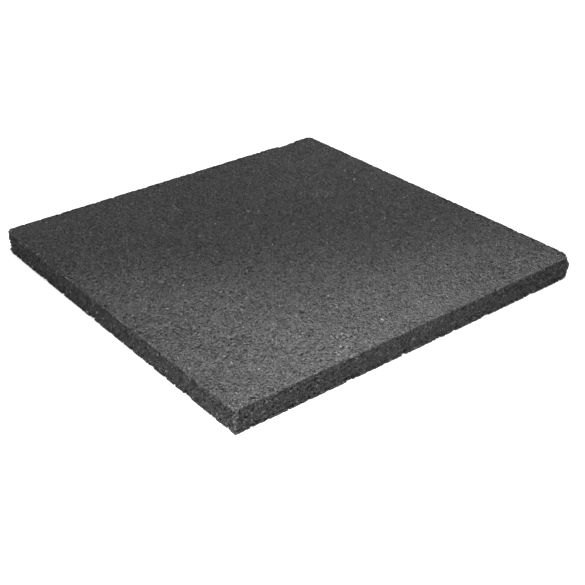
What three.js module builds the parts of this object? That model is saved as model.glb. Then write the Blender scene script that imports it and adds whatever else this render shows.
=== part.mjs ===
// Rubber safety mat: one square tile pressed from black rubber crumb and binder.
// Units are millimetres, +Z is up, and the origin is the middle of the underside.
// The mat is one solid: a flat slab with rounded upright corners and softened long edges.

import * as THREE from "three";
import { mergeVertices } from "three/addons/utils/BufferGeometryUtils.js";

// Driving dimensions
const side = 500; // length of each of the four sides
const thickness = 30; // underside to walking face
const cornerRadius = 4; // upright corners, seen from above
const topEdgeRadius = 2; // softened edge round the walking face
const bottomEdgeRadius = 1; // softened edge round the underside

// Facets of the rounded shapes
const cornerFacets = 8; // along each upright corner
const edgeFacets = 4; // across each softened edge

// Corners of a rounded square, anticlockwise from the front right corner.
// The inset moves the whole outline inwards, and the corner radius shrinks with it.
function roundedSquare(inset) {
  const radius = cornerRadius - inset;
  const centre = side / 2 - cornerRadius;
  const corners = [
    [centre, -centre],
    [centre, centre],
    [-centre, centre],
    [-centre, -centre],
  ];
  return corners.flatMap(([x, y], quarter) =>
    Array.from({ length: cornerFacets + 1 }, (_, step) => {
      const angle = (quarter - 1 + step / cornerFacets) * (Math.PI / 2);
      return new THREE.Vector2(x + radius * Math.cos(angle), y + radius * Math.sin(angle));
    }),
  );
}

// Levels of the slab from the underside up. Each has a height and the inset of its outline,
// which follows a quarter circle at both softened edges.
function slabLevels() {
  const bottomEdge = Array.from({ length: edgeFacets + 1 }, (_, step) => {
    const angle = (step / edgeFacets) * (Math.PI / 2);
    return {
      height: bottomEdgeRadius * (1 - Math.cos(angle)),
      inset: bottomEdgeRadius * (1 - Math.sin(angle)),
    };
  });
  const topEdge = Array.from({ length: edgeFacets + 1 }, (_, step) => {
    const angle = (step / edgeFacets) * (Math.PI / 2);
    return {
      height: thickness - topEdgeRadius * (1 - Math.sin(angle)),
      inset: topEdgeRadius * (1 - Math.cos(angle)),
    };
  });
  return [...bottomEdge, ...topEdge];
}

// A closed surface through the outlines of all levels, with a flat face at each end.
function slabGeometry() {
  const levels = slabLevels();
  const outlines = levels.map(({ inset }) => roundedSquare(inset));
  const count = outlines[0].length;
  const positions = outlines.flatMap((outline, level) =>
    outline.flatMap(({ x, y }) => [x, y, levels[level].height]),
  );

  const triangles = [];
  for (let level = 0; level + 1 < levels.length; level++) {
    for (let i = 0; i < count; i++) {
      const next = (i + 1) % count;
      const lower = level * count;
      const upper = lower + count;
      triangles.push(lower + i, lower + next, upper + next);
      triangles.push(lower + i, upper + next, upper + i);
    }
  }

  const top = (levels.length - 1) * count;
  for (const [a, b, c] of THREE.ShapeUtils.triangulateShape(outlines[0], [])) {
    triangles.push(a, c, b);
  }
  for (const [a, b, c] of THREE.ShapeUtils.triangulateShape(outlines.at(-1), [])) {
    triangles.push(top + a, top + b, top + c);
  }

  const geometry = new THREE.BufferGeometry();
  geometry.setAttribute("position", new THREE.Float32BufferAttribute(positions, 3));
  geometry.setIndex(triangles);
  const closed = mergeVertices(geometry);
  closed.computeVertexNormals();
  return closed;
}

// Matt black rubber, bonded from crumb
const crumbRubber = new THREE.MeshStandardMaterial({
  name: "crumb_rubber",
  color: 0x3a3a3a,
  roughness: 0.92,
  metalness: 0,
});

const rubberMat = new THREE.Mesh(slabGeometry(), crumbRubber);
rubberMat.name = "rubber_mat";

const safetyMat = new THREE.Group();
safetyMat.add(rubberMat);

export default safetyMat;
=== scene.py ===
"""Rubber safety mat: a square tile pressed from black rubber crumb and binder.

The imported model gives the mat's box. This script lays the bonded body with its crumb relief in
that box, sets the crumbs that stand proud of it, sieved into sizes, and lights a small studio.
Lengths are in metres, +Z is up, and the mat lies on z = 0.
"""

import logging
import math
from collections.abc import Callable
from dataclasses import dataclass, field, replace
from enum import Enum

import bpy
import numpy as np
from mathutils import Matrix, Vector


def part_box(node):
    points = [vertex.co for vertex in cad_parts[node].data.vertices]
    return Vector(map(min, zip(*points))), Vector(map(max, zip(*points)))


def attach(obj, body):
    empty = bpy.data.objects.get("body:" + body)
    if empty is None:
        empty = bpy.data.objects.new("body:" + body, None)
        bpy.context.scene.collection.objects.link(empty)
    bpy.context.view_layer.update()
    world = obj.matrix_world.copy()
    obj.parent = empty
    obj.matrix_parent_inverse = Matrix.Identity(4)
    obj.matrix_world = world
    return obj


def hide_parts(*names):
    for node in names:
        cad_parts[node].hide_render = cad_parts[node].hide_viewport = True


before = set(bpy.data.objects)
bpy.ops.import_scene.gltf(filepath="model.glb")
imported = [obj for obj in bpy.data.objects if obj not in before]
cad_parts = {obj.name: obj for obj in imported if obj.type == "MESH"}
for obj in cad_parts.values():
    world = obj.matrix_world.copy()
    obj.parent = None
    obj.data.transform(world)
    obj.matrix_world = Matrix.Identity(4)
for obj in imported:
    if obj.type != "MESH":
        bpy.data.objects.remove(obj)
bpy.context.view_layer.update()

MM = 0.001
MAT_NODE = "rubber_mat"
BODY = "root"
BAKE_MAP = "OFBake"
MAP_GAP = 0.01
TONE = "crumb_tone"

log = logging.getLogger("mat")


# Shape of the mat


class Side(Enum):
    """The six faces of the mat, each with the number that marks what belongs to it."""

    WALKING = 0
    FRONT = 1
    RIGHT = 2
    BACK = 3
    LEFT = 4
    UNDER = 5


EDGES = (Side.FRONT, Side.RIGHT, Side.BACK, Side.LEFT)


# Length, heading and start of each wave that the broken edges follow
NOTCH_WAVES = (
    (3.7 * MM, 0.78, 0.3),
    (4.9 * MM, 2.31, 1.9),
    (6.8 * MM, 0.70, 4.4),
    (9.6 * MM, 2.40, 5.1),
    (17.0 * MM, 0.85, 2.2),
    (28.0 * MM, 2.35, 0.9),
    (46.0 * MM, 0.80, 3.6),
)

# Phase that each long wave of the press gains in a metre along x and along y, and its start
SAG_WAVES = ((31.0, 17.0, 0.4), (-19.0, 37.0, 2.1), (53.0, -41.0, 4.0), (71.0, 67.0, 5.2))


@dataclass(frozen=True)
class Knock:
    """A place where the mat has been knocked: a corner, or a dent in its upper arris."""

    place: tuple[float, float, float]
    reach: float
    depth: float

    def shift(self, points: np.ndarray, half: float, thickness: float) -> np.ndarray:
        """Gives how far the knock pushes each point into the mat.

        Args:
            points: Points on the mat's surface.
            half: Half the length of the mat's side.
            thickness: The mat's thickness.

        Returns:
            The shift of each point, nought out of the knock's reach.
        """
        place = np.array(self.place)
        faces = place * (1, 1, 2) - (0, 0, 1)
        inward = -np.where(np.abs(faces) == 1, faces, 0)
        inward = inward / np.linalg.norm(inward)
        away = np.linalg.norm(points - place * (half, half, thickness), axis=1)
        near = np.clip(1 - away / self.reach, 0, 1)
        return self.depth * (near * near * (3 - 2 * near))[:, None] * inward


# Places as shares of the half side and of the thickness
KNOCKS = (
    Knock((1.0, -1.0, 1.0), 13.0 * MM, 4.5 * MM),
    Knock((1.0, -1.0, 0.0), 18.0 * MM, 3.2 * MM),
    Knock((-1.0, -1.0, 1.0), 12.0 * MM, 3.2 * MM),
    Knock((-1.0, 1.0, 1.0), 9.0 * MM, 2.6 * MM),
    Knock((-1.0, 1.0, 0.5), 22.0 * MM, 2.4 * MM),
    Knock((-1.0, 1.0, 0.0), 14.0 * MM, 3.0 * MM),
    Knock((1.0, 1.0, 1.0), 9.0 * MM, 1.2 * MM),
    Knock((0.80, 1.0, 1.0), 26.0 * MM, 2.4 * MM),
)


@dataclass(frozen=True)
class MatShape:
    """The mat's outer shape: a square slab with rounded upright corners and softened long edges.

    Its sizes are lengths, but the swells and the start of the gaps are heights of the summed
    waves, and the painted arris shade and the gains of painted light are shares of a crumb's tone.
    """

    half: float
    thickness: float
    corner_radius: float = 2.0 * MM
    top_radius: float = 0.5 * MM
    foot_radius: float = 0.4 * MM
    notch_depth: float = 4.2 * MM
    notch_rise: float = 7.0 * MM
    nick_depth: float = 1.6 * MM
    nick_drop: float = 3.5 * MM
    notch_swell: float = 3.0
    gap_start: float = 0.35
    gap_swell: float = 2.2
    sound_corner: float = 5.0 * MM
    notch_fade: float = 12.0 * MM
    sag_depth: float = 0.08 * MM
    # Painted light on the upright corners and at the foot, and painted shade along the upper arris:
    # their reach and strength
    painted_corner_reach: float = 6.4 * MM
    painted_corner_fade: float = 4.0 * MM
    arris_drop: float = 1.0 * MM
    arris_reach: float = 2.0 * MM
    painted_arris_shade: float = 0.30
    painted_foot_height: float = 14.0 * MM
    painted_foot_gain: float = 0.30
    painted_light_gain: float = 1.3

    @property
    def straight(self) -> float:
        """Length of one side between its two rounded corners."""
        return 2 * (self.half - self.corner_radius)

    @property
    def quarter(self) -> float:
        """Length of the outline from one rounded corner's end to the next one's end."""
        return self.straight + self.corner_radius * math.pi / 2

    @property
    def wall(self) -> float:
        """Height of the upright wall between the softened edges."""
        return self.thickness - self.top_radius - self.foot_radius

    @property
    def profile(self) -> float:
        """Length of the profile from the underside up the wall to the walking face."""
        return self.wall + (self.top_radius + self.foot_radius) * math.pi / 2

    def outline(self, along: np.ndarray, inset: np.ndarray) -> tuple[np.ndarray, np.ndarray]:
        """Points on the outline of the mat, seen from above.

        Args:
            along: Distance round the outline from the left end of the front side.
            inset: How far inside the outline each point lies.

        Returns:
            The points and the directions that face out of the mat there, both as x and y.
        """
        turn = np.floor(along / self.quarter)
        rest = along - turn * self.quarter
        bend = np.clip((rest - self.straight) / self.corner_radius, 0, math.pi / 2)
        reach = self.corner_radius - inset
        centre = self.half - self.corner_radius
        x = np.minimum(rest, self.straight) - centre + reach * np.sin(bend)
        y = -centre - reach * np.cos(bend)
        angle = turn * math.pi / 2
        cos, sin = np.cos(angle), np.sin(angle)
        out_x, out_y = np.sin(bend), -np.cos(bend)
        points = np.stack([x * cos - y * sin, x * sin + y * cos], 1)
        outward = np.stack([out_x * cos - out_y * sin, out_x * sin + out_y * cos], 1)
        return points, outward

    def band(self, along: np.ndarray, up: np.ndarray) -> tuple[np.ndarray, np.ndarray]:
        """Points on the band round the mat: both softened edges and the wall between them.

        Args:
            along: Distance round the outline.
            up: Distance up the profile from the underside.

        Returns:
            The points and the directions that face out of the mat there.
        """
        foot_end = self.foot_radius * math.pi / 2
        wall_end = foot_end + self.wall
        foot = np.clip(up / self.foot_radius, 0, math.pi / 2)
        top = np.clip((up - wall_end) / self.top_radius, 0, math.pi / 2)
        tilt = top - (math.pi / 2 - foot)
        inset = self.foot_radius * (1 - np.sin(foot)) + self.top_radius * (1 - np.cos(top))
        height = (
            self.foot_radius * (1 - np.cos(foot))
            + np.clip(up - foot_end, 0, self.wall)
            + self.top_radius * np.sin(top)
        )
        flat, outward = self.outline(along, inset)
        points = np.column_stack([flat, height])
        normals = np.column_stack([outward * np.cos(tilt)[:, None], np.sin(tilt)])
        return points, normals

    def shaped(self, points: np.ndarray) -> np.ndarray:
        """Moves points of the plain box's surface onto the surface of the mat.

        Args:
            points: Points on the surface of the box, at least one coordinate at its limit.

        Returns:
            The points with corners rounded and edges softened.
        """
        moved = points.copy()
        reach = np.abs(points[:, :2]).max(1)
        inset, below = self.half - reach, self.thickness - points[:, 2]
        new_inset, height = inset.copy(), points[:, 2].copy()
        for radius, from_face, rise in (
            (self.top_radius, below, -1.0),
            (self.foot_radius, points[:, 2], 1.0),
        ):
            corner = (inset < radius) & (from_face < radius)
            face_share = np.where(from_face <= inset, 1 - inset / radius, 1.0)
            wall_share = np.where(inset < from_face, 1 - from_face / radius, 1.0)
            angle = math.pi / 4 * np.where(from_face <= inset, face_share, 2 - wall_share)
            new_inset = np.where(corner, radius * (1 - np.sin(angle)), new_inset)
            face = self.thickness if rise < 0 else 0.0
            height = np.where(corner, face + rise * radius * (1 - np.cos(angle)), height)
        new_reach = self.half - new_inset
        moved[:, :2] *= (new_reach / np.maximum(reach, 1e-9))[:, None]
        centre = self.half - self.corner_radius
        core = np.clip(moved[:, :2], -centre, centre)
        spur = moved[:, :2] - core
        length = np.maximum(np.linalg.norm(spur, axis=1), 1e-12)
        moved[:, :2] = core + spur * (np.abs(spur).max(1) / length)[:, None]
        moved[:, 2] = height
        return moved

    def kept_inside(self, points: np.ndarray, margin: np.ndarray) -> np.ndarray:
        """Presses points that stand out of the mat's box back to its faces.

        Args:
            points: The points.
            margin: How far inside the faces each one has to stay.

        Returns:
            The points, all inside the box.
        """
        low = np.array((-self.half, -self.half, 0.0)) + margin[:, None]
        high = np.array((self.half, self.half, self.thickness)) - margin[:, None]
        return np.clip(points, low, high)

    def sag(self, points: np.ndarray) -> np.ndarray:
        """Gives how far the uneven faces lie under true.

        Args:
            points: Points on the mat's surface.

        Returns:
            The depth there, from a few long waves of the press.
        """
        total = np.zeros(len(points))
        for along_x, along_y, start in SAG_WAVES:
            total += np.sin(points[:, 0] * along_x + points[:, 1] * along_y + start)
        return self.sag_depth * (total / len(SAG_WAVES) + 1)

    def ragged(self, points: np.ndarray) -> np.ndarray:
        """Gives how far crumbs have broken away at the foot and at the upper arris.

        Args:
            points: Points on the mat's surface.

        Returns:
            The depth of the notches there, nought away from both edges.
        """
        total = np.zeros(len(points))
        for length, turn, start in NOTCH_WAVES:
            way = (math.cos(turn), math.sin(turn))
            run = points[:, 0] * way[0] + points[:, 1] * way[1]
            total += np.sin(run * math.tau / length + start)
        notch = np.clip(total / self.notch_swell, 0, 1)
        gap = np.clip(-self.gap_start - total / self.gap_swell, 0, 1)
        foot = np.clip(1 - points[:, 2] / self.notch_rise, 0, 1)
        top = np.clip(1 - (self.thickness - points[:, 2]) / self.nick_drop, 0, 1)
        reach = np.abs(points[:, :2]).max(1)
        rim = np.clip(1 - (self.half - reach) / (2 * self.nick_drop), 0, 1)
        from_corner = self.half - np.abs(points[:, :2]).min(1)
        fade = np.clip((from_corner - self.sound_corner) / self.notch_fade, 0, 1)
        return (self.notch_depth * notch * foot + self.nick_depth * gap * top) * rim * fade

    def knocked(self, points: np.ndarray) -> np.ndarray:
        """Gives how far all the knocks together push each point into the mat."""
        return sum(knock.shift(points, self.half, self.thickness) for knock in KNOCKS)

    def painted_corner_light(self, points: np.ndarray) -> np.ndarray:
        """Gives the share of painted light on an upright corner: 1 on the corner, falling to 0 along
        both sides of it.
        """
        near = np.abs(points[:, :2]) - (self.half - self.painted_corner_reach)
        return np.clip(near.min(1) / self.painted_corner_fade, 0, 1)

    def painted_light(self, points: np.ndarray) -> np.ndarray:
        """Gives how much light and shade is painted into the crumbs' tones, above 0 lighter and
        below 0 darker.

        Args:
            points: Points on the mat's surface.

        Returns:
            1 on an upright corner, a little above 0 at the foot and below 0 on the upper arris.
        """
        # Painted light: lighter on the upright corners and at the foot; painted shade: darker along
        # the upper arris
        high = np.clip(1 - (self.thickness - points[:, 2]) / self.arris_drop, 0, 1)
        reach = np.abs(points[:, :2]).max(1)
        arris = high * np.clip(1 - (self.half - reach) / self.arris_reach, 0, 1)
        painted_foot = np.clip(1 - points[:, 2] / self.painted_foot_height, 0, 1)
        along = self.painted_foot_gain * painted_foot - self.painted_arris_shade * arris
        return np.maximum(self.painted_corner_light(points), along)

    def with_painted_light(self, tone: np.ndarray, points: np.ndarray) -> np.ndarray:
        """Makes the tones of crumbs at these points lighter or darker, by the light and shade
        painted there.
        """
        return tone * (1 + self.painted_light_gain * self.painted_light(points))


# Meshes


def mesh_piece(name: str, points: np.ndarray, faces: list[np.ndarray]) -> bpy.types.Object:
    """Makes a flat-shaded object from arrays.

    Args:
        name: Name of the piece.
        points: Its points, one row each.
        faces: Arrays of faces, each array with one number of corners to a face.

    Returns:
        The object, linked to the scene.
    """
    mesh = bpy.data.meshes.new(name)
    corners = np.concatenate([part.ravel() for part in faces])
    counts = np.concatenate([np.full(len(part), part.shape[1]) for part in faces])
    starts = np.concatenate([[0], np.cumsum(counts)[:-1]])
    mesh.vertices.add(len(points))
    mesh.vertices.foreach_set("co", points.astype(np.float32).ravel())
    mesh.loops.add(len(corners))
    mesh.loops.foreach_set("vertex_index", corners.astype(np.int32))
    mesh.polygons.add(len(counts))
    mesh.polygons.foreach_set("loop_start", starts.astype(np.int32))
    mesh.update(calc_edges=True)
    mesh.validate()
    piece = bpy.data.objects.new(name, mesh)
    bpy.context.collection.objects.link(piece)
    return piece


def set_number(piece: bpy.types.Object, name: str, values: np.ndarray) -> None:
    """Stores one number for each point of a piece, for its material to read."""
    attribute = piece.data.attributes.new(name, "FLOAT", "POINT")
    attribute.data.foreach_set("value", values.astype(np.float32))


def corner_points(piece: bpy.types.Object) -> tuple[np.ndarray, np.ndarray]:
    """Reads where the corners of a piece's faces are.

    Args:
        piece: The piece.

    Returns:
        The point of each face corner and the number of its face.
    """
    mesh = piece.data
    vertex = np.empty(len(mesh.loops), np.int32)
    mesh.loops.foreach_get("vertex_index", vertex)
    count = np.empty(len(mesh.polygons), np.int32)
    mesh.polygons.foreach_get("loop_total", count)
    place = np.empty(len(mesh.vertices) * 3, np.float32)
    mesh.vertices.foreach_get("co", place)
    return place.reshape(-1, 3)[vertex], np.repeat(np.arange(len(count)), count)


@dataclass(frozen=True)
class MapPatch:
    """A rectangle of the bake map that one face of the mat is laid on."""

    left: float
    low: float
    width: float
    height: float


@dataclass(frozen=True)
class MapLayout:
    """Where each face of the mat lies on a piece's bake map."""

    shape: MatShape
    patches: dict[Side, MapPatch]

    def lay(self, piece: bpy.types.Object, sides: np.ndarray) -> None:
        """Writes the bake map of a piece.

        Args:
            piece: The piece to lay out.
            sides: For each face of the piece, the number of the mat's face that it belongs to.
        """
        points, face = corner_points(piece)
        side = sides[face]
        across = (points[:, :2] / self.shape.half + 1) / 2
        rise = points[:, 2] / self.shape.thickness
        layer = piece.data.uv_layers.new(name=BAKE_MAP)
        spots = np.zeros((len(points), 2))
        for kind, patch in self.patches.items():
            mine = side == kind.value
            u = across[:, 1] if kind in (Side.RIGHT, Side.LEFT) else across[:, 0]
            v = rise if kind in EDGES else across[:, 1]
            spots[mine, 0] = patch.left + patch.width * u[mine].clip(0, 1)
            spots[mine, 1] = patch.low + patch.height * v[mine].clip(0, 1)
        layer.uv.foreach_set("vector", spots.astype(np.float32).ravel())


def side_strips(low: float, width: float, height: float) -> dict[Side, MapPatch]:
    """Lays the four sides as strips, one above the other.

    Args:
        low: Where the lowest strip starts.
        width: Length of a strip.
        height: Height of a strip.

    Returns:
        The patch of each side.
    """
    step = height + MAP_GAP
    return {
        kind: MapPatch(MAP_GAP / 2, low + row * step, width, height)
        for row, kind in enumerate(EDGES)
    }


def body_layout(shape: MatShape) -> MapLayout:
    """Lays the walking face large, the four sides as strips above it and the underside small.

    Args:
        shape: The mat's shape.

    Returns:
        The body's layout.
    """
    large, small, strip = 0.67, 0.30, 0.06
    rim, past = MAP_GAP / 2, large + 2 * MAP_GAP
    patches = side_strips(past, large, strip)
    patches[Side.WALKING] = MapPatch(rim, rim, large, large)
    patches[Side.UNDER] = MapPatch(past, rim, small, small)
    return MapLayout(shape, patches)


def walking_layout(shape: MatShape) -> MapLayout:
    """Lays the walking face over the whole map."""
    rim, whole = MAP_GAP / 2, 1 - MAP_GAP
    return MapLayout(shape, {Side.WALKING: MapPatch(rim, rim, whole, whole)})


def edge_layout(shape: MatShape) -> MapLayout:
    """Lays the four sides as strips over the whole map."""
    strip = 1 / len(EDGES) - MAP_GAP
    return MapLayout(shape, side_strips(MAP_GAP / 2, 1 - MAP_GAP, strip))


# Node groups


@dataclass
class Wiring:
    """A node tree under construction, with short ways to add and link its nodes."""

    tree: bpy.types.NodeTree

    def add(self, kind: str, settings: dict | None = None, **values: object) -> bpy.types.Node:
        """Adds a node.

        Args:
            kind: The node's type, without the leading ShaderNode.
            settings: Properties to set on the node.
            values: Inputs by name, with _ for a space: a number or vector, or a socket to link.

        Returns:
            The new node.
        """
        node = self.tree.nodes.new("ShaderNode" + kind)
        for name, value in (settings or {}).items():
            setattr(node, name, value)
        self.fill(node, **values)
        return node

    def fill(self, node: bpy.types.Node, **values: object) -> None:
        """Feeds inputs of a node by name, with _ for a space."""
        for name, value in values.items():
            self.feed(node.inputs[name.replace("_", " ")], value)

    def feed(self, socket: bpy.types.NodeSocket, value: object) -> None:
        """Links a socket to another one, or sets its own value.

        Args:
            socket: The input to feed.
            value: A number or vector, or a socket to link.
        """
        if isinstance(value, bpy.types.NodeSocket):
            self.tree.links.new(value, socket)
        else:
            socket.default_value = value

    def maths(self, operation: str, *values: object, kind: str = "Math") -> bpy.types.NodeSocket:
        """Adds one sum of numbers or vectors.

        Args:
            operation: What the node does.
            values: Its inputs in order, each a number, a vector or a socket to link.
            kind: Math for numbers, VectorMath for vectors.

        Returns:
            The result's socket.
        """
        node = self.add(kind, {"operation": operation})
        for socket, value in zip(node.inputs, values):
            self.feed(socket, value)
        return node.outputs[0]

    def blend(self, share: object, first: object, second: object) -> bpy.types.NodeSocket:
        """Mixes two numbers.

        Args:
            share: Share of the second one.
            first: The first, a number or a socket to link.
            second: The second, a number or a socket to link.

        Returns:
            The result's socket.
        """
        node = self.add("Mix", {"data_type": "FLOAT"}, Factor=share)
        self.feed(node.inputs[2], first)
        self.feed(node.inputs[3], second)
        return node.outputs[0]

    def ramp(self, value: object, low: object, high: object, start: float, end: float,
             smooth: bool = False) -> bpy.types.NodeSocket:
        """Maps a value from one range to another.

        Args:
            value: The socket to map.
            low: Where its range starts.
            high: Where its range ends.
            start: Result at the low end.
            end: Result at the high end.
            smooth: Whether the result eases in and out.

        Returns:
            The mapped value's socket.
        """
        node = self.add("MapRange", {"interpolation_type": "SMOOTHSTEP" if smooth else "LINEAR"})
        self.fill(node, Value=value, From_Min=low, From_Max=high, To_Min=start, To_Max=end)
        return node.outputs["Result"]

    def effect(self, group: str, **values: object) -> bpy.types.Node:
        """Places a shared effect with its own values."""
        return self.add("Group", {"node_tree": GROUPS[group]}, **values)


GROUPS: dict[str, bpy.types.NodeTree] = {}


def new_group(name: str, inputs: tuple[str, ...], outputs: tuple[str, ...]) -> tuple[
    Wiring, bpy.types.Node, bpy.types.Node
]:
    """Starts a shader node group that takes a place and numbers and puts out numbers.

    Args:
        name: Name of the group.
        inputs: Names of the numbers that it takes.
        outputs: Names of the numbers that it puts out.

    Returns:
        The group's wiring, its input node and its output node.
    """
    tree = bpy.data.node_groups.new(name, "ShaderNodeTree")
    tree.interface.new_socket("Place", in_out="INPUT", socket_type="NodeSocketVector")
    for in_out, labels in (("INPUT", inputs), ("OUTPUT", outputs)):
        for label in labels:
            tree.interface.new_socket(label, in_out=in_out, socket_type="NodeSocketFloat")
    GROUPS[name] = tree
    return Wiring(tree), tree.nodes.new("NodeGroupInput"), tree.nodes.new("NodeGroupOutput")


def scaled_place(wiring: Wiring, given: bpy.types.Node, size: str) -> bpy.types.NodeSocket:
    """Scales a group's place so that one unit is one grain.

    Args:
        wiring: The group's wiring.
        given: Its input node.
        size: Name of the input that gives the grain's size.

    Returns:
        The scaled place's socket.
    """
    scale = wiring.maths("DIVIDE", 1.0, given.outputs[size])
    place = given.outputs["Place"]
    return wiring.add("VectorMath", {"operation": "SCALE"}, Vector=place, Scale=scale).outputs[0]


def build_crumb_cells() -> None:
    """Builds the group for crumbs packed side by side: a tone each, and painted shade in the gaps
    between them.
    """
    wiring, given, result = new_group(
        "crumb_cells", ("Crumb", "Gap", "Spread"), ("Tone", "Height", "Pit")
    )
    middle, bend, lowest = 0.5, 0.9, 0.45
    place = scaled_place(wiring, given, "Crumb")
    wobble = wiring.add("TexNoise", Vector=place, Scale=1.3, Detail=1.0).outputs["Color"]
    centred = wiring.maths("SUBTRACT", wobble, (middle,) * 3, kind="VectorMath")
    bent = wiring.maths("MULTIPLY_ADD", centred, (bend,) * 3, place, kind="VectorMath")
    cells, rims = (
        wiring.add("TexVoronoi", {"feature": feature}, Vector=bent, Scale=1.0)
        for feature in ("F1", "DISTANCE_TO_EDGE")
    )
    split = wiring.add("SeparateColor", Color=cells.outputs["Color"])
    filled = wiring.ramp(rims.outputs["Distance"], 0.0, given.outputs["Gap"], 0.0, 1.0, smooth=True)
    lift = wiring.ramp(split.outputs["Green"], 0.0, 1.0, lowest, 1.0)
    swing = wiring.ramp(split.outputs["Red"], 0.0, 1.0, -1.0, 1.0)
    wiring.fill(
        result,
        Tone=wiring.maths("ADD", 1.0, wiring.maths("MULTIPLY", swing, given.outputs["Spread"])),
        Height=wiring.maths("MULTIPLY", filled, lift),
        Pit=wiring.maths("SUBTRACT", 1.0, filled),
    )


def build_torn_grain() -> None:
    """Builds the group for the torn face of a crumb: a fine uneven tone and height."""
    wiring, given, result = new_group("torn_grain", ("Grain", "Contrast"), ("Tone", "Height"))
    place = scaled_place(wiring, given, "Grain")
    noise = wiring.add("TexNoise", Vector=place, Scale=1.0, Detail=3.0, Roughness=0.65)
    level = noise.outputs["Fac"]
    swing = wiring.ramp(level, 0.3, 0.7, -1.0, 1.0)
    tone = wiring.maths("ADD", 1.0, wiring.maths("MULTIPLY", swing, given.outputs["Contrast"]))
    wiring.fill(result, Tone=tone, Height=level)


def build_binder_film() -> None:
    """Builds the group for binder left on the crumbs: patches where the rubber is less matt."""
    wiring, given, result = new_group("binder_film", ("Patch", "Bare", "Wetted"), ("Roughness",))
    place = scaled_place(wiring, given, "Patch")
    noise = wiring.add("TexNoise", Vector=place, Scale=1.0, Detail=2.0)
    share = wiring.ramp(noise.outputs["Fac"], 0.50, 0.60, 0.0, 1.0, smooth=True)
    wiring.fill(
        result, Roughness=wiring.blend(share, given.outputs["Bare"], given.outputs["Wetted"])
    )


def build_grey_dust() -> None:
    """Builds the group for the pale dust that lies in broad, faint patches."""
    wiring, given, result = new_group("grey_dust", ("Patch", "Amount"), ("Mask",))
    place = scaled_place(wiring, given, "Patch")
    noise = wiring.add("TexNoise", Vector=place, Scale=1.0, Detail=5.0, Roughness=0.7)
    share = wiring.ramp(noise.outputs["Fac"], 0.35, 0.75, 0.0, 1.0, smooth=True)
    wiring.fill(result, Mask=wiring.maths("MULTIPLY", share, given.outputs["Amount"]))


def build_groups() -> None:
    """Builds every shared effect once."""
    for build in (build_crumb_cells, build_torn_grain, build_binder_film, build_grey_dust):
        build()


# Finishes


@dataclass(frozen=True)
class CrumbRubber:
    """Black bonded rubber crumb, as the pressed body shows it or on crumbs that stand proud."""

    name: str
    rubber: float = 0.0425
    dust_tone: float = 0.10
    spread: float = 0.16
    crumb: float = 1.2 * MM
    gap: float = 0.30
    # Share of painted shade in the gaps between the cells
    painted_pit_shade: float = 0.45
    bump: float = 0.60 * MM
    grain: float = 0.9 * MM
    grain_contrast: float = 0.50
    grain_height: float = 0.5
    dust: float = 0.06
    dust_patch: float = 38.0 * MM
    film_patch: float = 2.2 * MM
    bare_roughness: float = 0.75
    wetted_roughness: float = 0.27
    sheen: float = 0.30
    celled: bool = True

    def material(self) -> bpy.types.Material:
        """Builds the material.

        Returns:
            The material, whose tone and height follow the crumbs.
        """
        material = bpy.data.materials.new(self.name)
        material.use_nodes = True
        wiring = Wiring(material.node_tree)
        place = wiring.add("TexCoord").outputs["Object"]
        torn = wiring.effect(
            "torn_grain", Place=place, Grain=self.grain, Contrast=self.grain_contrast
        )
        film = wiring.effect(
            "binder_film", Place=place, Patch=self.film_patch,
            Bare=self.bare_roughness, Wetted=self.wetted_roughness,
        )
        dust = wiring.effect("grey_dust", Place=place, Patch=self.dust_patch, Amount=self.dust)
        own_tone = wiring.add("Attribute", {"attribute_name": TONE}).outputs["Fac"]
        tone = wiring.maths("MULTIPLY", own_tone, torn.outputs["Tone"])
        height = wiring.maths("MULTIPLY", torn.outputs["Height"], self.grain_height)
        if self.celled:
            cells = wiring.effect(
                "crumb_cells", Place=place, Crumb=self.crumb, Gap=self.gap, Spread=self.spread
            )
            tone = wiring.maths("MULTIPLY", tone, cells.outputs["Tone"])
            # Painted shade: darker in the gaps between the cells
            painted_shade = wiring.maths("MULTIPLY", cells.outputs["Pit"], self.painted_pit_shade)
            tone = wiring.maths("MULTIPLY", tone, wiring.maths("SUBTRACT", 1.0, painted_shade))
            height = wiring.maths("ADD", height, cells.outputs["Height"])
        value = wiring.maths("MULTIPLY", tone, self.rubber)
        grey = wiring.blend(dust.outputs["Mask"], value, self.dust_tone)
        colour = wiring.add("CombineColor", Red=grey, Green=grey, Blue=grey)
        bump = wiring.add("Bump", Height=height, Distance=self.bump)
        wiring.fill(
            material.node_tree.nodes["Principled BSDF"],
            Base_Color=colour.outputs["Color"],
            Roughness=film.outputs["Roughness"],
            Normal=bump.outputs["Normal"],
            Specular_IOR_Level=self.sheen,
        )
        return material


WALKING_FACE = CrumbRubber("pressed_crumb")
# The sides' finish is the walking face's made darker: painted shade for the sides, which take less
# light
SHADED_MAT_EDGE = CrumbRubber("shaded_edge_crumb", rubber=0.028, dust=0.04, sheen=0.26)
UNDERSIDE = CrumbRubber("underside_crumb", dust=0.05)
WALKING_CHIP = CrumbRubber("walking_chip", celled=False)
SHADED_EDGE_CHIP = replace(SHADED_MAT_EDGE, name="shaded_edge_chip", celled=False)


# The bonded body


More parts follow.
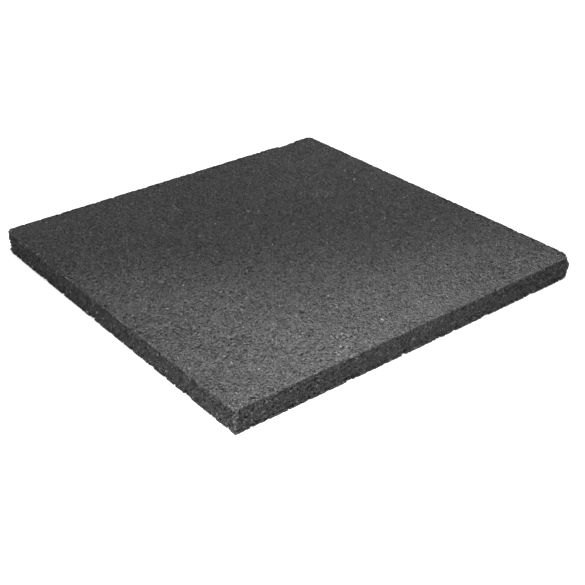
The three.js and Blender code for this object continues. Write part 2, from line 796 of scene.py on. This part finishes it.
@dataclass
class BondedBody:
    """The mat's body: bonded crumb whose faces lie just under the crumbs that stand proud."""

    shape: MatShape
    name: str = "bonded_body"
    cell: float = 2.6 * MM
    relief: float = 0.6 * MM
    pit_depth: float = 2.0 * MM
    pit_share: float = 0.30
    least_depth: float = 0.7 * MM
    jitter: float = 0.34
    pit_range: tuple[float, float] = (0.5, 1.0)
    least_facing: float = -0.7
    # Painted shade: the body's own tone, and how much darker its sunk and pitted points are
    face_tone: float = 0.85
    painted_low_shade: float = 0.30
    painted_pit_shade: float = 0.55
    tone_range: tuple[float, float] = (0.90, 1.10)
    seed: int = 11
    piece: bpy.types.Object | None = field(default=None, init=False)

    def lines(self, length: float, rims: tuple[float, float]) -> np.ndarray:
        """Places the mesh lines along one axis, closer at the softened edges.

        Args:
            length: Length along the axis.
            rims: Radius of the softened edge at each end.

        Returns:
            The places of the lines, from 0 to the length.
        """
        inner = length - rims[0] - rims[1]
        count = max(2 * round(inner / self.cell / 2), 2)
        middle = rims[0] + np.linspace(0, inner, count + 1)
        start = np.array([0.0, rims[0] / 2])
        end = np.array([length - rims[1] / 2, length])
        return np.concatenate([start, middle, end])

    def lattice(self) -> tuple[np.ndarray, np.ndarray]:
        """Numbers the points of a box lattice's surface.

        Returns:
            The points, and for each lattice place the number of its point, or -1 inside.
        """
        shape = self.shape
        across = self.lines(2 * shape.half, (shape.top_radius, shape.top_radius))
        up = self.lines(shape.thickness, (shape.foot_radius, shape.top_radius))
        size = (len(across), len(across), len(up))
        outside = np.zeros(size, bool)
        for axis in range(3):
            ends = np.moveaxis(outside, axis, 0)
            ends[0] = ends[-1] = True
        number = np.full(size, -1)
        number[outside] = np.arange(outside.sum())
        i, j, k = np.nonzero(outside)
        points = np.column_stack([across[i] - shape.half, across[j] - shape.half, up[k]])
        return points, number

    def split(self, grid: np.ndarray, rng: np.random.Generator) -> np.ndarray:
        """Cuts each square of a grid of points into two triangles, along either diagonal.

        Args:
            grid: Numbers of the points in rows, seen from outside with the second axis up.
            rng: Source of the draws.

        Returns:
            The triangles, facing out.
        """
        a, b = grid[:-1, :-1].ravel(), grid[1:, :-1].ravel()
        c, d = grid[1:, 1:].ravel(), grid[:-1, 1:].ravel()
        rising = rng.random(len(a)) < 0.5
        first = np.where(rising[:, None], np.stack([a, b, c], 1), np.stack([a, b, d], 1))
        second = np.where(rising[:, None], np.stack([a, c, d], 1), np.stack([b, c, d], 1))
        return np.concatenate([first, second])

    def underside(self, grid: np.ndarray) -> list[np.ndarray]:
        """Covers the underside with squares of two cells, keeping every point of its rim.

        Args:
            grid: Numbers of the underside's points.

        Returns:
            Arrays of faces with four, five and six corners, facing down.
        """
        coarse = grid[::2, ::2]
        a, b = coarse[:-1, :-1], coarse[1:, :-1]
        c, d = coarse[1:, 1:], coarse[:-1, 1:]
        inner = (slice(1, -1), slice(1, -1))
        faces = {4: [np.stack([a[inner], d[inner], c[inner], b[inner]], -1).reshape(-1, 4)]}
        last = len(a) - 1
        for row in range(len(a)):
            for column in range(len(a)):
                if 0 < row < last and 0 < column < last:
                    continue
                i, j = 2 * row, 2 * column
                ring = [
                    grid[i + down, j + over]
                    for down, over, kept in (
                        (0, 0, True), (0, 1, row == 0), (0, 2, True), (1, 2, column == last),
                        (2, 2, True), (2, 1, row == last), (2, 0, True), (1, 0, column == 0),
                    )
                    if kept
                ]
                faces.setdefault(len(ring), []).append(np.array([ring]))
        return [np.concatenate(parts) for parts in faces.values()]

    def build(self) -> None:
        """Builds the closed body, with its relief pressed inwards from the mat's own faces."""
        rng = np.random.default_rng(self.seed)
        flat, number = self.lattice()
        grids = {
            Side.WALKING: number[:, :, -1],
            Side.FRONT: number[:, 0, :],
            Side.RIGHT: number[-1, :, :],
            Side.BACK: number[::-1, -1, :],
            Side.LEFT: number[0, ::-1, :],
        }
        parts = [(side, self.split(grid, rng)) for side, grid in grids.items()]
        parts += [(Side.UNDER, faces) for faces in self.underside(number[:, :, 0])]
        self.piece = mesh_piece(self.name, self.shape.shaped(flat), [faces for _, faces in parts])
        sides = np.concatenate([np.full(len(faces), side.value) for side, faces in parts])
        self.roughen(rng)
        self.piece.data.polygons.foreach_set("material_index", self.finish_numbers(sides))
        body_layout(self.shape).lay(self.piece, sides)

    def roughen(self, rng: np.random.Generator) -> None:
        """Presses each point inwards by its own depth and shifts it along the surface.

        Args:
            rng: Source of the draws.
        """
        mesh = self.piece.data
        count = len(mesh.vertices)
        points, normals = np.empty(count * 3, np.float32), np.empty(count * 3, np.float32)
        mesh.vertices.foreach_get("co", points)
        mesh.vertices.foreach_get("normal", normals)
        points, normals = points.reshape(-1, 3).astype(float), normals.reshape(-1, 3)
        pitted = (rng.random(count) < self.pit_share) & (normals[:, 2] > self.least_facing)
        deep = np.where(pitted, rng.uniform(*self.pit_range, count), 0.0)
        low = rng.random(count)
        sunk = self.least_depth + self.relief * low + self.pit_depth * deep
        sunk += self.shape.sag(points) + self.shape.ragged(points)
        shift = rng.uniform(-1, 1, (count, 3)) * self.jitter * self.cell
        shift -= normals * (shift * normals).sum(1)[:, None]
        shift += self.shape.knocked(points)
        points = self.shape.kept_inside(points + shift - normals * sunk[:, None], np.zeros(count))
        mesh.vertices.foreach_set("co", points.astype(np.float32).ravel())
        mesh.update()
        # Painted shade: darker where a point is sunk lower and where it lies in a pit, and lower
        # overall than the proud crumbs so the gaps between them look dark
        tone = self.face_tone - self.painted_low_shade * low - self.painted_pit_shade * deep
        tone *= rng.uniform(*self.tone_range, count)
        set_number(self.piece, TONE, self.shape.with_painted_light(tone, points))

    def finish_numbers(self, sides: np.ndarray) -> np.ndarray:
        """Gives each face the number of its finish: walking face, edge or underside."""
        return np.select([sides == Side.WALKING.value, sides == Side.UNDER.value], [0, 2], 1)

    def dress(self, *finishes: bpy.types.Material) -> None:
        """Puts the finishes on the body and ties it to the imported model.

        Args:
            finishes: Those of the walking face, the sides and the underside.
        """
        for material in finishes:
            self.piece.data.materials.append(material)
        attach(self.piece, BODY)
        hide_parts(MAT_NODE)


# The crumbs that stand proud


class CrumbForm(Enum):
    """The forms that ground rubber comes in."""

    WEDGE = "wedge"
    BLOCK = "block"
    SHARD = "shard"


@dataclass(frozen=True)
class CrumbModel:
    """A plain closed crumb before it is stretched, bent and turned."""

    corners: np.ndarray
    faces: np.ndarray


def crumb_models() -> dict[CrumbForm, CrumbModel]:
    """Makes one model crumb of each form.

    Returns:
        The models, each about two units across, with triangles that face out.
    """
    shard = np.array([[1, 0, 0], [0, 1, 0], [-1, 0, 0], [0, -1, 0], [0, 0, 1], [0, 0, -1]], float)
    block = np.array([[x, y, z] for z in (-1, 1) for y in (-1, 1) for x in (-1, 1)], float) * 0.72
    squares = [(0, 2, 3, 1), (4, 5, 7, 6), (0, 1, 5, 4), (1, 3, 7, 5), (3, 2, 6, 7), (2, 0, 4, 6)]
    block_faces = [tri for a, b, c, d in squares for tri in ((a, b, c), (a, c, d))]
    turns = [math.tau * i / 5 for i in range(5)]
    wedge = np.array([[math.cos(t), math.sin(t), 0.1 * (-1) ** i] for i, t in enumerate(turns)]
                     + [[0.2, 0.1, 0.85], [-0.1, 0.0, -0.85]])
    shard_faces, wedge_faces = (
        [[i, (i + 1) % sides, sides] for i in range(sides)]
        + [[(i + 1) % sides, i, sides + 1] for i in range(sides)]
        for sides in (4, 5)
    )
    return {
        CrumbForm.SHARD: CrumbModel(shard, np.array(shard_faces)),
        CrumbForm.BLOCK: CrumbModel(block, np.array(block_faces)),
        CrumbForm.WEDGE: CrumbModel(wedge, np.array(wedge_faces)),
    }


@dataclass(frozen=True)
class Sites:
    """Where crumbs sit: points on the mat's own surface, the way out of it, and their face."""

    points: np.ndarray
    normals: np.ndarray
    sides: np.ndarray


@dataclass(frozen=True)
class CrumbBatch:
    """The crumbs of one form: their points, their triangles and the numbers of their sites."""

    points: np.ndarray
    faces: np.ndarray
    sites: np.ndarray

    def for_points(self, values: np.ndarray) -> np.ndarray:
        """Repeats each site's value for every point of its crumb."""
        return np.repeat(values[self.sites], self.points.shape[1])

    def for_faces(self, values: np.ndarray) -> np.ndarray:
        """Repeats each site's value for every triangle of its crumb."""
        return np.repeat(values[self.sites], self.faces.shape[1])


@dataclass
class CrumbFraction:
    """One sieve fraction of crumbs, bonded to the mat so that they stand proud of its body."""

    shape: MatShape
    name: str
    pitch: float
    radius: float
    forms: tuple[CrumbForm, ...]
    seed: int
    flatness: float = 1.05
    tilt: float = 0.85
    sink: float = 0.28 * MM
    bedding: float = 0.75
    unevenness: float = 0.2 * MM
    rim_share: float = 0.6
    scatter: float = 0.48
    size_spread: float = 0.22
    stretch: tuple[float, float] = (0.7, 1.3)
    bend: float = 0.28
    tone_drop: float = 0.03
    tone_spread: float = 0.27
    bright_share: float = 0.015
    bright_range: tuple[float, float] = (2.0, 3.8)
    piece: bpy.types.Object | None = field(default=None, init=False)

    def walking_sites(self, rng: np.random.Generator) -> Sites:
        """Scatters crumbs over the walking face, inside its softened edge.

        Args:
            rng: Source of the draws.

        Returns:
            The sites.
        """
        reach = self.shape.half - self.rim_share * self.shape.top_radius
        count = round(2 * reach / self.pitch)
        step = 2 * reach / count
        rows = (np.arange(count) + 0.5) * step - reach
        x, y = np.meshgrid(rows, rows)
        flat = np.column_stack([x.ravel(), y.ravel()])
        flat += rng.uniform(-self.scatter, self.scatter, flat.shape) * step
        centre = reach - self.shape.corner_radius
        past = np.maximum(np.abs(flat) - centre, 0)
        flat = flat[np.linalg.norm(past, axis=1) < self.shape.corner_radius]
        points = np.column_stack([flat, np.full(len(flat), self.shape.thickness)])
        normals = np.tile((0.0, 0.0, 1.0), (len(flat), 1))
        return Sites(points, normals, np.full(len(flat), Side.WALKING.value))

    def edge_sites(self, rng: np.random.Generator) -> Sites:
        """Scatters crumbs over the four sides and both softened edges.

        Args:
            rng: Source of the draws.

        Returns:
            The sites.
        """
        shape = self.shape
        columns = round(4 * shape.quarter / self.pitch)
        rows = max(round(shape.profile / self.pitch), 1)
        along, up = np.meshgrid(np.arange(columns) + 0.5, np.arange(rows) + 0.5)
        along = (along.ravel() + rng.uniform(-self.scatter, self.scatter, along.size)) / columns
        up = (up.ravel() + rng.uniform(-self.scatter, self.scatter, up.size)) / rows
        return self.band_sites(along * 4 * shape.quarter, up * shape.profile)

    def strung_sites(self, start: float, spread: float, rng: np.random.Generator) -> Sites:
        """Strings crumbs round the mat.

        Args:
            start: How far up the profile they start.
            spread: How far from there they may lie, below nought for downwards.
            rng: Source of the draws.

        Returns:
            The sites.
        """
        length = 4 * self.shape.quarter
        count = round(length / self.pitch)
        along = (np.arange(count) + rng.uniform(0, 1, count)) / count * length
        return self.band_sites(along, start + spread * rng.uniform(0, 1, count))

    def foot_sites(self, rng: np.random.Generator) -> Sites:
        """Strings crumbs along the foot of the four sides, where they rest on the ground."""
        foot_end = self.shape.foot_radius * math.pi / 2
        return self.strung_sites(foot_end, 0.5 * self.radius, rng)

    def arris_sites(self, rng: np.random.Generator) -> Sites:
        """Strings crumbs along the upper arris of the four sides."""
        return self.strung_sites(self.shape.profile, -self.shape.top_radius * math.pi / 2, rng)

    def band_sites(self, along: np.ndarray, up: np.ndarray) -> Sites:
        """Makes sites from places on the band round the mat.

        Args:
            along: Distance round the outline.
            up: Distance up the profile.

        Returns:
            The sites.
        """
        shape = self.shape
        points, normals = shape.band(along, up)
        half_bend = shape.corner_radius * math.pi / 4
        turn = np.floor((along + half_bend) / shape.quarter).astype(int) % 4
        return Sites(points, normals, Side.FRONT.value + turn)

    def turned(self, normals: np.ndarray, rng: np.random.Generator) -> np.ndarray:
        """Makes a turn for each crumb: any way about the surface's normal, and a little off it.

        Args:
            normals: The way out of the mat at each crumb.
            rng: Source of the draws.

        Returns:
            For each crumb, a matrix whose columns are its three axes.
        """
        leaning = normals + rng.normal(0, self.tilt, normals.shape)
        up = leaning / np.linalg.norm(leaning, axis=1)[:, None]
        guess = rng.normal(size=normals.shape)
        first = np.cross(up, guess)
        first /= np.linalg.norm(first, axis=1)[:, None]
        return np.stack([first, np.cross(up, first), up], 2)

    def crumbs(self, sites: Sites, rng: np.random.Generator) -> list[CrumbBatch]:
        """Shapes the crumbs at their sites.

        Args:
            sites: Where they sit.
            rng: Source of the draws.

        Returns:
            The crumbs of each form.
        """
        count = len(sites.points)
        turn = self.turned(sites.normals, rng)
        size = self.radius * rng.lognormal(0, self.size_spread, (count, 1))
        size = size * rng.uniform(*self.stretch, (count, 3))
        size[:, 2] *= self.flatness
        sunk = rng.exponential(self.sink, count) + self.shape.sag(sites.points)
        depth = self.bedding * size[:, 2] + sunk + self.shape.ragged(sites.points)
        centre = sites.points - sites.normals * depth[:, None] + self.shape.knocked(sites.points)
        form = rng.integers(0, len(self.forms), count)
        made, start = [], 0
        models = crumb_models()
        for number, kind in enumerate(self.forms):
            mine, corners = np.flatnonzero(form == number), models[kind].corners
            bent = corners + rng.uniform(-self.bend, self.bend, (len(mine), *corners.shape))
            local = bent * size[mine][:, None, :]
            points = np.einsum("nij,nkj->nki", turn[mine], local) + centre[mine][:, None, :]
            first = start + np.arange(len(mine)) * len(corners)
            made.append(CrumbBatch(points, models[kind].faces + first[:, None, None], mine))
            start += len(mine) * len(corners)
        return made

    def build(self, sites: Sites, layout: MapLayout, rng: np.random.Generator) -> None:
        """Builds the fraction as one joined mesh of closed crumbs.

        Args:
            sites: Where its crumbs sit.
            layout: Its bake map.
            rng: Source of the draws.
        """
        made = self.crumbs(sites, rng)
        points = np.concatenate([batch.points.reshape(-1, 3) for batch in made])
        faces = np.concatenate([batch.faces.reshape(-1, 3) for batch in made])
        margin = rng.uniform(0, self.unevenness, len(sites.points))
        margins = np.concatenate([batch.for_points(margin) for batch in made])
        self.piece = mesh_piece(self.name, self.shape.kept_inside(points, margins), [faces])
        layout.lay(self.piece, np.concatenate([batch.for_faces(sites.sides) for batch in made]))
        tone = rng.lognormal(-self.tone_drop, self.tone_spread, len(sites.points))
        # A few crumbs much lighter: partly lighter crumbs, partly painted highlight standing in for
        # crumbs that glint
        bright = rng.random(len(tone)) < self.bright_share
        tone[bright] = rng.uniform(*self.bright_range, bright.sum())
        tone = self.shape.with_painted_light(tone, sites.points)
        set_number(self.piece, TONE, np.concatenate([batch.for_points(tone) for batch in made]))

    def dress(self, material: bpy.types.Material) -> None:
        """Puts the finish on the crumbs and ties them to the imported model.

        Args:
            material: Their finish.
        """
        self.piece.data.materials.append(material)
        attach(self.piece, BODY)


@dataclass
class ProudCrumbs:
    """All the crumbs that stand proud: those of the walking face and those of the sides."""

    shape: MatShape
    pieces: list[CrumbFraction] = field(default_factory=list, init=False)

    def lay(self, fraction: CrumbFraction, scatter: Callable[..., Sites], layout: MapLayout,
            material: bpy.types.Material) -> None:
        """Builds and dresses one fraction.

        Args:
            fraction: The fraction.
            scatter: Its method that gives the sites.
            layout: Its bake map.
            material: Its finish.
        """
        rng = np.random.default_rng(fraction.seed)
        fraction.build(scatter(fraction, rng), layout, rng)
        fraction.dress(material)
        self.pieces.append(fraction)

    def walking(self, material: bpy.types.Material) -> None:
        """Lays the four fractions of the walking face, with pitches and radii in millimetres.

        Args:
            material: Their finish.
        """
        wedge, block, shard = CrumbForm
        layout = walking_layout(self.shape)
        for name, pitch, radius, forms, seed in (
            ("walking_crumb_coarse", 4.8, 1.25, (block, wedge), 21),
            ("walking_crumb_medium", 3.6, 1.02, (block, wedge, shard), 22),
            ("walking_crumb_small", 3.6, 0.90, (wedge, shard), 24),
            ("walking_crumb_fine", 3.3, 0.72, (shard,), 23),
        ):
            fraction = CrumbFraction(self.shape, name, pitch * MM, radius * MM, forms, seed)
            self.lay(fraction, CrumbFraction.walking_sites, layout, material)

    def edges(self, material: bpy.types.Material) -> None:
        """Lays the fractions of the sides, with pitches, radii and sinks in millimetres.

        Args:
            material: Their finish.
        """
        every, layout = tuple(CrumbForm), edge_layout(self.shape)
        all_over = CrumbFraction.edge_sites
        at_foot, at_arris = CrumbFraction.foot_sites, CrumbFraction.arris_sites
        for name, pitch, radius, forms, seed, bedding, sink, spread, scatter in (
            ("edge_crumb_coarse", 3.4, 1.35, every, 31, 0.60, 0.35, 0.50, all_over),
            ("edge_crumb_fine", 2.7, 0.85, (CrumbForm.SHARD,), 32, 0.60, 0.35, 0.50, all_over),
            ("foot_crumb", 2.0, 1.70, every, 33, 0.30, 0.05, 0.35, at_foot),
            ("arris_crumb", 1.3, 1.20, every, 34, 0.55, 0.30, 0.70, at_arris),
        ):
            fraction = CrumbFraction(
                self.shape, name, pitch * MM, radius * MM, forms, seed,
                flatness=0.9, tilt=0.8, sink=sink * MM, bedding=bedding, tone_spread=spread,
            )
            self.lay(fraction, scatter, layout, material)


# The studio


@dataclass(frozen=True)
class Lamp:
    """A lamp in a hood, which throws a soft-edged pool of light on the mat."""

    name: str
    place: tuple[float, float, float]
    aim: tuple[float, float, float]
    hood_angle: float
    power: float
    radius: float = 0.05
    softness: float = 1.0

    def hang(self) -> None:
        """Hangs the lamp and turns it to its aim."""
        data = bpy.data.lights.new(self.name, "SPOT")
        data.shadow_soft_size, data.energy = self.radius, self.power
        data.spot_size, data.spot_blend = math.radians(self.hood_angle), self.softness
        light = bpy.data.objects.new(self.name, data)
        light.location = self.place
        way = Vector(self.aim) - Vector(self.place)
        light.rotation_euler = way.to_track_quat("-Z", "Y").to_euler()
        bpy.context.collection.objects.link(light)


# The pools overlap on the near corner and the front side, and a faint one lies at the far right
LAMPS = (
    Lamp("front_lamp", (-1.29, -1.19, 3.00), (-0.33, -0.63, 0.0), 24.8, 740.0, radius=0.10),
    Lamp("right_back_lamp", (1.05, 0.20, 0.80), (-0.05, -0.34, 0.0), 19.0, 114.0),
    Lamp("left_back_lamp", (-0.15, 1.00, 0.80), (-0.24, -0.23, 0.0), 14.2, 73.0, softness=0.5),
    Lamp("back_lamp", (0.75, 0.80, 0.95), (-0.25, -0.37, 0.0), 19.0, 90.0),
    Lamp("high_back_lamp", (0.35, 0.70, 1.30), (-0.14, -0.34, 0.0), 17.0, 52.0),
    Lamp("far_right_lamp", (0.10, 1.20, 1.00), (0.27, 0.00, 0.0), 17.0, 26.0),
)


@dataclass
class Studio:
    """A pale floor, soft lights and the camera where the photograph was taken from."""

    floor_size: float = 24.0
    floor_tone: float = 0.88
    floor_roughness: float = 0.9
    floor_sheen: float = 0.1
    station: tuple[float, float, float] = (-0.7160, -0.9387, 0.6386)
    ahead: tuple[float, float, float] = (0.53357, 0.68240, -0.49963)
    to_right: tuple[float, float, float] = (0.78436, -0.62023, -0.00948)
    focal_pixels: float = 1069.4
    frame_pixels: float = 585.0
    far_clip: float = 100.0
    sky_start: float = 0.66
    sky_level: float = 6.45

    def camera(self) -> None:
        """Sets the camera at the photograph's station, with its lens and its slight roll."""
        data = bpy.data.cameras.new("camera")
        data.sensor_fit = "HORIZONTAL"
        data.lens = data.sensor_width * self.focal_pixels / self.frame_pixels
        data.clip_end = self.far_clip
        camera = bpy.data.objects.new("camera", data)
        back, right = -Vector(self.ahead).normalized(), Vector(self.to_right)
        side = (right - back * right.dot(back)).normalized()
        axes = Matrix((side, back.cross(side), back)).transposed()
        camera.matrix_world = Matrix.Translation(Vector(self.station)) @ axes.to_4x4()
        bpy.context.collection.objects.link(camera)
        bpy.context.scene.camera = camera

    def floor(self) -> None:
        """Lays a large plain pale floor under the mat."""
        corners = np.array([[-1, -1, 0], [1, -1, 0], [1, 1, 0], [-1, 1, 0]]) * self.floor_size / 2
        floor = mesh_piece("floor", corners, [np.array([[0, 1, 2, 3]])])
        material = bpy.data.materials.new("studio_floor")
        material.use_nodes = True
        tone = self.floor_tone
        Wiring(material.node_tree).fill(
            material.node_tree.nodes["Principled BSDF"],
            Base_Color=(tone, tone, tone, 1.0),
            Roughness=self.floor_roughness,
            Specular_IOR_Level=self.floor_sheen,
        )
        floor.data.materials.append(material)

    def sky(self) -> None:
        """Sets the room's own light: bright overhead, none from lower down, and white to look at."""
        world = bpy.data.worlds.new("studio_room")
        world.use_nodes = True
        bpy.context.scene.world = world
        wiring, nodes = Wiring(world.node_tree), world.node_tree.nodes
        way = wiring.add("TexCoord").outputs["Generated"]
        rise = wiring.add("SeparateXYZ", Vector=way).outputs["Z"]
        level = wiring.ramp(rise, self.sky_start, 1.0, 0.0, self.sky_level)
        lit = nodes["Background"]
        wiring.fill(lit, Color=(1, 1, 1, 1), Strength=level)
        seen = wiring.add("Background", Color=(1, 1, 1, 1), Strength=1.0)
        blend = wiring.add("MixShader")
        ray = wiring.add("LightPath").outputs["Is Camera Ray"]
        for socket, value in zip(blend.inputs, (ray, lit.outputs[0], seen.outputs[0])):
            wiring.feed(socket, value)
        wiring.fill(nodes["World Output"], Surface=blend.outputs[0])

    def build(self) -> None:
        """Builds the whole studio."""
        bpy.context.scene.view_settings.view_transform = "Standard"
        bpy.context.scene.view_settings.look = "None"
        self.camera()
        self.floor()
        self.sky()
        for lamp in LAMPS:
            lamp.hang()


def report(piece: bpy.types.Object) -> None:
    """Logs a piece's name and how many triangles it has."""
    triangles = sum(len(face.vertices) - 2 for face in piece.data.polygons)
    log.info("%s: %d triangles", piece.name, triangles)


def main() -> None:
    """Builds the mat and its studio, piece by piece."""
    logging.basicConfig(level=logging.INFO, format="%(name)s: %(message)s")
    low, high = (Vector(corner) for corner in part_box(MAT_NODE))
    shape = MatShape(half=(high.x - low.x) / 2, thickness=high.z - low.z)
    build_groups()
    body = BondedBody(shape)
    body.build()
    body.dress(WALKING_FACE.material(), SHADED_MAT_EDGE.material(), UNDERSIDE.material())
    report(body.piece)
    crumbs = ProudCrumbs(shape)
    crumbs.walking(WALKING_CHIP.material())
    crumbs.edges(SHADED_EDGE_CHIP.material())
    for fraction in crumbs.pieces:
        report(fraction.piece)
    Studio().build()


if __name__ == "__main__":
    main()
